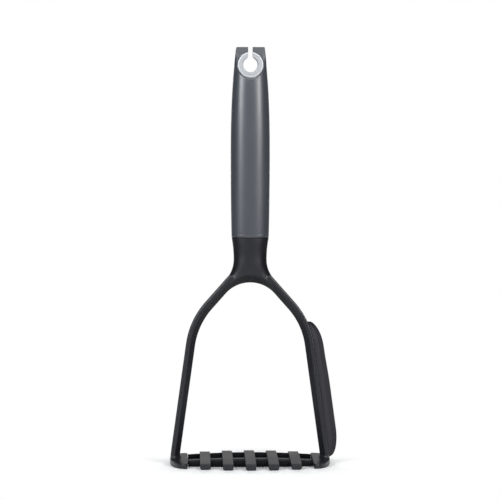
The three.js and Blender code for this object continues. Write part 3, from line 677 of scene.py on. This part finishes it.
slats = []
for number in range(1, 6):
    low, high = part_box(f"slat_{number}")
    middle = (low.x + high.x) / 2
    slat = block(f"slat.{number}", low - SLAT_SPREAD, Vector((high.x, high.y, DOME_HEIGHT)) + SLAT_SPREAD)
    round_edges(slat, lambda co, along: co.z < CLOSE and abs(along.y) > 0.9, SLAT_ROUND, 5)
    let_down(slat, 1, spaced(high.y, 16), lambda y: dome(middle, y))
    ease_corners(slat, SLAT_EDGE, 3)
    smooth(slat, 30)
    slats.append(slat)
said(slats[0])

# %% The middle rib
RIB_REACH = 43.2 * MM
MIDDLE_DROP, MIDDLE_LIFT = 1.9 * MM, 0.1 * MM

low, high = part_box("cross_rib_middle")
rib = block("rib.middle", (-RIB_REACH, low.y, low.z + MIDDLE_LIFT), (RIB_REACH, high.y, DOME_HEIGHT))
let_down(rib, 0, spaced(RIB_REACH, 12), lambda x: dome(x, 0) - MIDDLE_DROP)
ribs = [rib]

# %% The thin ribs, bowed a little, with their ends nearer to the middle
THIN_PLACE, THIN_HALF_WIDTH = 20 * MM, 0.9 * MM
THIN_DROP, THIN_LOWER = 0.15 * MM, 0.6 * MM
BOW_ROUND = 690 * MM
BOW_STATIONS = spaced(RIB_REACH, 16)
RIB_EDGE = 0.15 * MM

for side, name in ((-1, "front"), (1, "back")):
    low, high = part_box(f"cross_rib_{name}")
    rib = block(f"rib.{name}", (-RIB_REACH, side * THIN_PLACE - THIN_HALF_WIDTH, low.z - THIN_LOWER),
                (RIB_REACH, side * THIN_PLACE + THIN_HALF_WIDTH, DOME_HEIGHT))
    let_down(rib, 0, BOW_STATIONS, lambda x: dome(x, THIN_PLACE) - THIN_DROP)
    edit(rib)
    for place in BOW_STATIONS:
        pick(rib, "VERT", lambda co, normal: abs(co.x - place) < CLOSE)
        bpy.ops.transform.translate(value=(0, -side * place ** 2 / BOW_ROUND, 0))
    tidy(rib)
    ribs.append(rib)
for rib in ribs:
    ease_corners(rib, RIB_EDGE, 2)
    smooth(rib, 30)
    said(rib)

# %% [markdown]
# A foot bar is D-shaped in plan. A drum standing upright is squeezed to an oval and bisected, and its
# flat side is then pulled in to the bar's inner face.

# %% The foot bars
OVAL_MIDDLE = 44.9 * MM
FOOT_CORNER, FOOT_EDGE = 3 * MM, 1.5 * MM

put_down()
bpy.ops.mesh.primitive_cylinder_add(vertices=ROUND_SIDES, radius=1, depth=1,
                                    location=(OVAL_MIDDLE, 0, DOME_HEIGHT / 2))
foot_bar = centred(bpy.context.object, "foot.right", (foot_high.x - OVAL_MIDDLE, foot_high.y, DOME_HEIGHT))
edit(foot_bar)
bpy.ops.mesh.bisect(plane_co=(OVAL_MIDDLE, 0, 0), plane_no=(1, 0, 0), use_fill=True, clear_inner=True)
pick(foot_bar, "FACE", lambda co, normal: normal.x < -0.99)
bpy.ops.mesh.extrude_region_move(TRANSFORM_OT_translate={"value": (foot_low.x - OVAL_MIDDLE, 0, 0)})
tidy(foot_bar)
round_edges(foot_bar, lambda co, along: abs(along.z) > 0.9 and co.x < foot_low.x + CLOSE, FOOT_CORNER, 6)
let_down(foot_bar, 1, spaced(foot_high.y, 24), lambda y: dome(FOOT_MIDDLE, y))
ease_corners(foot_bar, FOOT_EDGE, 5)
smooth(foot_bar, 40)
said(foot_bar)

# %% The left foot bar is a copy, turned half round
take(foot_bar)
bpy.ops.object.duplicate()
other_foot = bpy.context.object
other_foot.name = "foot.left"
edit(other_foot)
bpy.ops.transform.rotate(value=math.pi, orient_axis="Z", center_override=(0, 0, 0))
tidy(other_foot)
said(other_foot)

# %% [markdown]
# ## Finishes
# Four plastics: black nylon, softer charcoal rubber, blue-grey soft-touch rubber and a pale satin insert,
# and a plain grey for the hidden core. The nylon is satin. The thin ribs wear a darker, duller copy of it:
# painted shade, for the shade that they lie in between the slats. Each finish has a fine moulded grain as
# a bump, a faint unevenness in its colour and in its gloss, and reads the object's own coordinates, so
# that it stays in place whatever turns.

# %% Adding and wiring nodes
def wired(tree, kind, inputs=None, **settings):
    """Adds a node with its settings, and fills its inputs from other nodes or with plain values."""
    node = tree.nodes.new(f"ShaderNode{kind}")
    for key, value in settings.items():
        setattr(node, key, value)
    for name, value in (inputs or {}).items():
        if isinstance(value, bpy.types.NodeSocket):
            tree.links.new(value, node.inputs[name])
        else:
            node.inputs[name].default_value = value
    return node


def worked(tree, operation, *sources, clamp=False):
    sum_node = wired(tree, "Math", dict(enumerate(sources)), operation=operation, use_clamp=clamp)
    return sum_node.outputs["Value"]


def ramp(tree, source, low, high, top=1.0, base=0.0, kind="SMOOTHSTEP"):
    """Goes from the base to the top as its source goes from low to high."""
    span = {"Value": source, "From Min": low, "From Max": high, "To Min": base, "To Max": top}
    return wired(tree, "MapRange", span, interpolation_type=kind).outputs["Result"]


def mixed(tree, factor, first, second, kind="RGBA"):
    return wired(tree, "Mix", {"Factor": factor, "A": first, "B": second}, data_type=kind).outputs["Result"]


def length_of(tree, vector):
    return wired(tree, "VectorMath", {0: vector}, operation="LENGTH").outputs["Value"]


# %% A moulded plastic
CLOUD_SCALE, CLOUD_LOW, CLOUD_HIGH = 45, 0.3, 0.7
GLOSS_SPREAD = 0.03
SHEEN_ROUGHNESS = 0.5


def moulded(name, colour, roughness, grain_size, grain_depth, unevenness=0.08, specular=0.5, sheen=0.0):
    """A plastic finish, uneven in colour and gloss by a soft cloud, with a fine grain."""
    finish = bpy.data.materials.new(name)
    finish.use_nodes = True
    tree = finish.node_tree
    shader = tree.nodes["Principled BSDF"]
    shader.inputs["Specular IOR Level"].default_value = specular
    shader.inputs["Sheen Weight"].default_value = sheen
    shader.inputs["Sheen Roughness"].default_value = SHEEN_ROUGHNESS
    place = wired(tree, "TexCoord").outputs["Object"]

    cloud = wired(tree, "TexNoise", {"Vector": place, "Scale": CLOUD_SCALE, "Detail": 4}).outputs["Fac"]
    darker, paler = ((*[c * (1 + change) for c in colour], 1) for change in (-unevenness, unevenness))
    tree.links.new(mixed(tree, cloud, darker, paler), shader.inputs["Base Color"])
    gloss = ramp(tree, cloud, CLOUD_LOW, CLOUD_HIGH, base=roughness - GLOSS_SPREAD,
                 top=roughness + GLOSS_SPREAD, kind="LINEAR")
    tree.links.new(gloss, shader.inputs["Roughness"])

    grain = wired(tree, "TexNoise", {"Vector": place, "Scale": 1 / grain_size, "Detail": 2}).outputs["Fac"]
    bump = wired(tree, "Bump", {"Height": grain, "Strength": 1, "Distance": grain_depth})
    tree.links.new(bump.outputs["Normal"], shader.inputs["Normal"])
    return finish


nylon = moulded("nylon_satin", (0.006, 0.006, 0.009), 0.37, 0.35 * MM, 0.003 * MM)
# painted shade: a darker, duller copy of the nylon for the thin ribs, which lie in shade between the slats
nylon_painted_shade = moulded("nylon_painted_shade", (0.002, 0.002, 0.003), 0.6, 0.35 * MM, 0.003 * MM, specular=0.12)
rubber = moulded("rubber_charcoal", (0.008, 0.0075, 0.012), 0.55, 0.5 * MM, 0.004 * MM, specular=0.42)
soft_touch = moulded("soft_touch_grey", (0.036, 0.041, 0.052), 0.35, 0.4 * MM, 0.003 * MM,
                     specular=0.9, sheen=0.13)
insert = moulded("insert_pale", (0.355, 0.363, 0.38), 0.4, 0.5 * MM, 0.001 * MM, unevenness=0.03)
core_plastic = moulded("core_grey", (0.051, 0.055, 0.064), 0.5, 0.8 * MM, 0.01 * MM)
print("finishes", [m.name for m in bpy.data.materials])

# %% [markdown]
# The flat pads of the grip are duller than its round sides, and they are painted a little paler, which is a
# painted highlight for the light that these square-on faces catch. The insert's rim is painted paler too, a
# painted highlight for the light that its rounded edge catches. More pieces would bring seams, so both are
# masks in the nodes: one from a face's height and the way that it looks, the other from how far a place is
# from the middle of the eye.

# %% The grip's pads are duller, and painted paler as a painted highlight
FACING_LOW, FACING_HIGH = 0.95, 0.99


def dull_pad_with_painted_light(finish, from_height, painted_light_colour, rougher):
    """Gives the finish's flat faces above a height, which face straight forwards or back, a duller skin,
    and a paler base colour, which is a painted highlight for the light that these square-on faces catch.
    """
    tree = finish.node_tree
    shader = tree.nodes["Principled BSDF"]
    place = wired(tree, "SeparateXYZ", {"Vector": wired(tree, "TexCoord").outputs["Object"]})
    normal = wired(tree, "SeparateXYZ", {"Vector": wired(tree, "NewGeometry").outputs["Normal"]})
    high_up = ramp(tree, place.outputs["Z"], from_height - 1 * MM, from_height, kind="LINEAR")
    facing = worked(tree, "ABSOLUTE", normal.outputs["Y"])
    square_on = ramp(tree, facing, FACING_LOW, FACING_HIGH, kind="LINEAR")
    pad = worked(tree, "MULTIPLY", high_up, square_on)
    # painted highlight: the pads' base colour is mixed towards a paler one, for the light that they catch
    for socket, kind, value in (("Base Color", "RGBA", painted_light_colour), ("Roughness", "FLOAT", rougher)):
        before = shader.inputs[socket].links[0].from_socket
        tree.links.new(mixed(tree, pad, before, value, kind), shader.inputs[socket])


# painted highlight on the grip's flat pads, together with their real duller finish
dull_pad_with_painted_light(soft_touch, EYE_PLACE.z - EYE_RADIUS, (0.046, 0.051, 0.060, 1), 0.55)


# %% The insert's rim is painted paler, as a painted highlight
def painted_rim_highlight(finish, from_radius, to_radius, painted_light_colour):
    """Paints the insert's outer rim paler: a painted highlight for the light that the rounded rim catches."""
    tree = finish.node_tree
    shader = tree.nodes["Principled BSDF"]
    place = wired(tree, "TexCoord").outputs["Object"]
    about_eye = {"Vector": place, "Location": (0, 0, -EYE_PLACE.z), "Scale": (1, 0, 1)}
    across = wired(tree, "Mapping", about_eye, vector_type="POINT")
    rim = ramp(tree, length_of(tree, across.outputs["Vector"]), from_radius, to_radius)
    before = shader.inputs["Base Color"].links[0].from_socket
    tree.links.new(mixed(tree, rim, before, painted_light_colour), shader.inputs["Base Color"])


# painted highlight: the insert's outer rim is painted paler than its body
painted_rim_highlight(insert, 7.6 * MM, 8.4 * MM, (0.56, 0.57, 0.59, 1))
print("nodes in the pads' and the insert's finish", [len(m.node_tree.nodes) for m in (soft_touch, insert)])

# %% Every piece gets its finish and its body, and the parts that it stands for are hidden
def dress(piece, finish, slot, *stands_for):
    piece.data.materials.clear()
    piece.data.materials.append(finish)
    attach(piece, "root")
    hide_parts(*stands_for)


dress(grip, soft_touch, "soft_grip", "grip_sleeve")
dress(eye, insert, "eye_insert", "hanging_eye")
dress(yoke, nylon, "nylon", "yoke")
dress(blade, rubber, "scraper", "scraper_blade")
for number, slat in enumerate(slats, 1):
    dress(slat, nylon, "nylon", f"slat_{number}")
# the thin ribs take the painted-shade copy of the nylon
for rib, finish, name in zip(ribs, (nylon, nylon_painted_shade, nylon_painted_shade), ("middle", "front", "back")):
    dress(rib, finish, "nylon", f"cross_rib_{name}")
dress(foot_bar, nylon, "nylon", "foot_bar_right")
dress(other_foot, nylon, "nylon", "foot_bar_left")
for material_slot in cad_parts["handle_core"].material_slots:
    material_slot.material = core_plastic

# %% [markdown]
# ## The studio
# The masher stands on a white sweep. Two tall soft boxes, one at each side of the camera, draw the long
# highlights on the grip, a wide one overhead gives the soft shadow under the plate, and a low one behind
# lights the floor. The floor and the world are white to the camera only, so that the black nylon keeps
# its dark edges.

# %% The camera
CAMERA_AZIMUTH, CAMERA_ELEVATION, CAMERA_ROLL = (math.radians(a) for a in (-1.392, 3.373, 0.066))
CAMERA_DISTANCE, CAMERA_LENS = 1.7427, 181.1808
target = Vector((-0.0001, 0, 0.14865))
away = Vector((math.sin(CAMERA_AZIMUTH) * math.cos(CAMERA_ELEVATION),
               -math.cos(CAMERA_AZIMUTH) * math.cos(CAMERA_ELEVATION), math.sin(CAMERA_ELEVATION)))
put_down()
bpy.ops.object.camera_add(location=target + CAMERA_DISTANCE * away)
camera = bpy.context.object
camera.name = "camera"
camera.data.sensor_width = 36
camera.data.lens = CAMERA_LENS
camera.data.clip_end = 30
camera.rotation_euler = ((-away).to_track_quat("-Z", "Y").to_matrix()
                         @ Matrix.Rotation(CAMERA_ROLL, 3, "Z")).to_euler()
bpy.context.scene.camera = camera
print("camera at", [round(c, 3) for c in camera.location])

# %% The soft boxes
def soft_box(name, azimuth, height, distance, size, watts, colour=(1, 1, 1), aim=0.15, glossy=True):
    """A rectangular lamp at an azimuth from the front, turned to a height on the object's middle line."""
    angle = math.radians(azimuth)
    spot = Vector((math.sin(angle) * distance, -math.cos(angle) * distance, height))
    turn = (Vector((0, 0, aim)) - spot).to_track_quat("-Z", "Y").to_euler()
    put_down()
    bpy.ops.object.light_add(type="AREA", location=spot, rotation=turn)
    lamp = bpy.context.object
    lamp.name = name
    lamp.data.shape = "RECTANGLE"
    lamp.data.size, lamp.data.size_y = size
    lamp.data.energy = watts
    lamp.data.color = colour
    lamp.visible_camera = False
    lamp.visible_glossy = glossy
    print(name, watts, "W at", [round(c, 2) for c in spot])


soft_box("softbox.left", -42, 0.75, 1.5, (0.68, 0.9), 21, (0.92, 0.97, 1))
soft_box("softbox.right", 37.5, 0.75, 1.5, (0.58, 0.9), 19)
soft_box("softbox.top", 0, 1.6, 0.35, (1.2, 1.2), 5)
soft_box("softbox.back", 180, 0.38, 1.5, (1.6, 0.5), 38, aim=0, glossy=False)

# %% [markdown]
# The camera sees plain paper near the object, which takes the shadow, and a white glow further off, so
# that no edge of the sweep shows. What the object sees is another thing: the paper is pale close by and
# on a bounce card in front, and dim elsewhere. A Light Path node keeps the two apart.

# %% The paper sweep
PAPER_WIDTH, PAPER_LENGTH = 1.4, 6
WHITE, PALE, DIM = ((level, level, level, 1) for level in (0.85, 0.8, 0.22))
GLOWS_FROM, GLOWS_TO = 0.05, 0.085
DIMS_FROM, DIMS_TO = 0.06, 0.15
CARD_SIDE, CARD_NEAR, CARD_FAR = (0.3, 0.16), (-0.12, -0.22), (-0.56, -0.36)

put_down()
bpy.ops.mesh.primitive_plane_add(size=1)
floor = centred(bpy.context.object, "floor", (PAPER_WIDTH, PAPER_LENGTH, 1))
paper = bpy.data.materials.new("paper")
paper.use_nodes = True
tree = paper.node_tree
shader = tree.nodes["Principled BSDF"]
shader.inputs["Roughness"].default_value = 1
shader.inputs["Specular IOR Level"].default_value = 0
camera_ray = wired(tree, "LightPath").outputs["Is Camera Ray"]
place = wired(tree, "TexCoord").outputs["Object"]
parts = wired(tree, "SeparateXYZ", {"Vector": place})
distance = length_of(tree, place)
card = ramp(tree, worked(tree, "ABSOLUTE", parts.outputs["X"]), *CARD_SIDE)
for edge in (CARD_NEAR, CARD_FAR):
    card = worked(tree, "MULTIPLY", card, ramp(tree, parts.outputs["Y"], *edge))
dimmed = worked(tree, "SUBTRACT", ramp(tree, distance, DIMS_FROM, DIMS_TO), card, clamp=True)
tree.links.new(mixed(tree, camera_ray, mixed(tree, dimmed, PALE, DIM), WHITE), shader.inputs["Base Color"])
glows = worked(tree, "MULTIPLY", camera_ray, ramp(tree, distance, GLOWS_FROM, GLOWS_TO))
glow = wired(tree, "Emission").outputs["Emission"]
fade = wired(tree, "MixShader", {0: glows, 1: shader.outputs["BSDF"], 2: glow})
tree.links.new(fade.outputs["Shader"], tree.nodes["Material Output"].inputs["Surface"])
floor.data.materials.append(paper)
print("paper with", len(tree.nodes), "nodes")

# %% The room is bright ahead and behind, and dim at the sides
ROOM_SIDES, ROOM_AHEAD, ROOM_BEHIND = 0.05, 0.6, 0.55
AHEAD_EDGE, BEHIND_EDGE, HORIZON = (-0.35, -0.85), (0.75, 0.98), (-0.02, 0.17)

world = bpy.data.worlds.new("studio")
bpy.context.scene.world = world
world.use_nodes = True
tree = world.node_tree
parts = wired(tree, "SeparateXYZ", {"Vector": wired(tree, "TexCoord").outputs["Generated"]})
ahead = ramp(tree, parts.outputs["Y"], *AHEAD_EDGE, top=ROOM_AHEAD, base=ROOM_SIDES)
behind = ramp(tree, parts.outputs["Y"], *BEHIND_EDGE, top=ROOM_BEHIND)
above_floor = ramp(tree, parts.outputs["Z"], *HORIZON)
room = worked(tree, "ADD", ahead, worked(tree, "MULTIPLY", behind, above_floor))
background = tree.nodes["Background"]
background.inputs["Color"].default_value = (1, 1, 1, 1)
camera_ray = wired(tree, "LightPath").outputs["Is Camera Ray"]
tree.links.new(worked(tree, "MAXIMUM", camera_ray, room), background.inputs["Strength"])
bpy.context.scene.view_settings.view_transform = "Standard"
